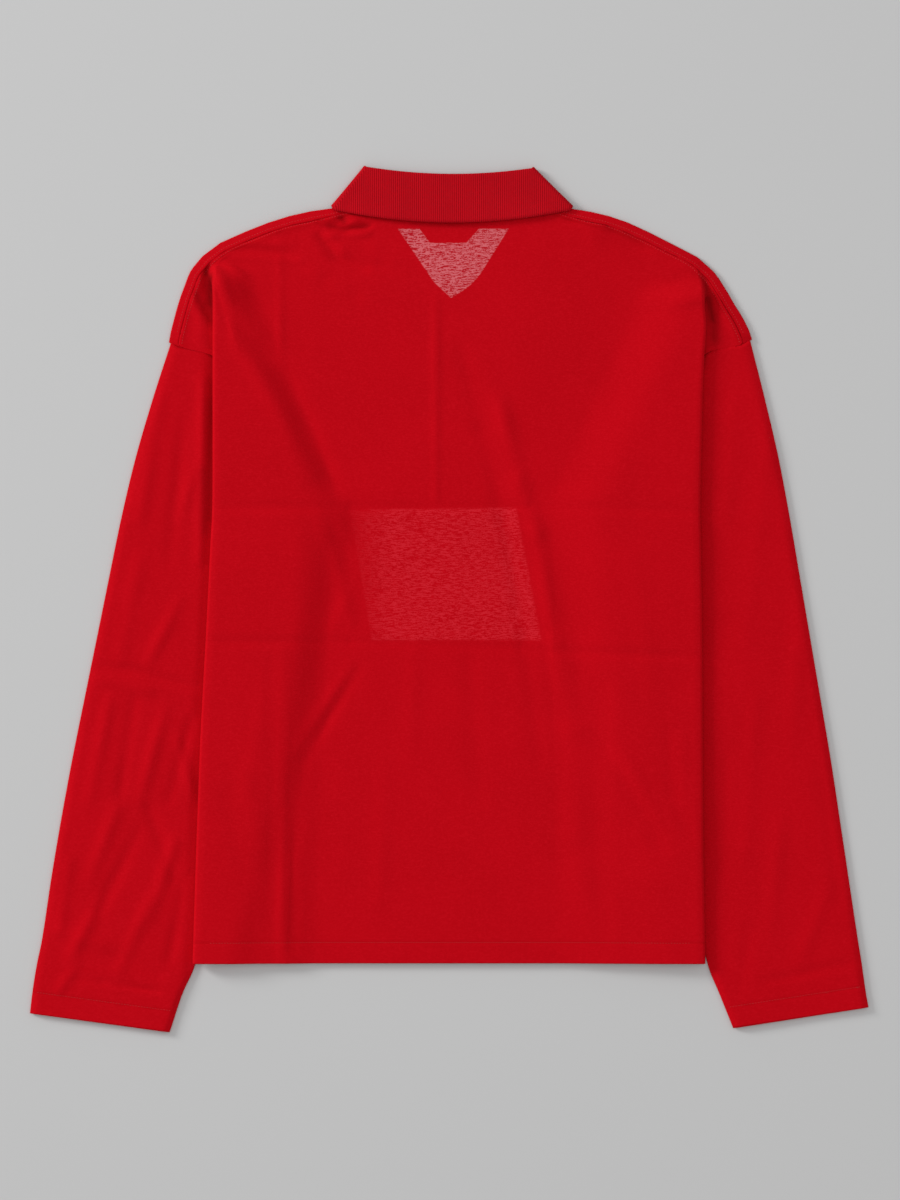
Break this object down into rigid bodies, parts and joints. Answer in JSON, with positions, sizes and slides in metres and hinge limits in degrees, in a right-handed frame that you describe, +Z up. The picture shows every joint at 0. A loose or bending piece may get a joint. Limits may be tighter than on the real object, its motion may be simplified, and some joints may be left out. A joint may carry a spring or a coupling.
{
  "type": "long-sleeved polo shirt",
  "caption": "Long-sleeved knitted polo shirt laid flat face down: boxy body with its sides folded under, drop shoulders, folded rib collar, plain hem and cuffs.",
  "frame": {"origin": "centre of the bounding box, on the surface that the shirt lies on", "axes": "+Z up, away from the surface; +Y from the hem towards the collar; +X to the right, seen from above, with the back of the shirt up"},
  "size_m": [0.7714, 0.7965, 0.0121],
  "materials": {
    "jersey": "matte fine knit",
    "rib": "matte fine vertical rib",
    "tape": "matte woven tape",
    "label": "plain woven label"
  },
  "bodies": {
    "root": {"back_panel": "jersey", "front_panel": "jersey", "sleeve_left": "jersey", "sleeve_right": "jersey", "collar": "rib", "neck_tape": "tape", "neck_label": "label"}
  },
  "joints": []
}
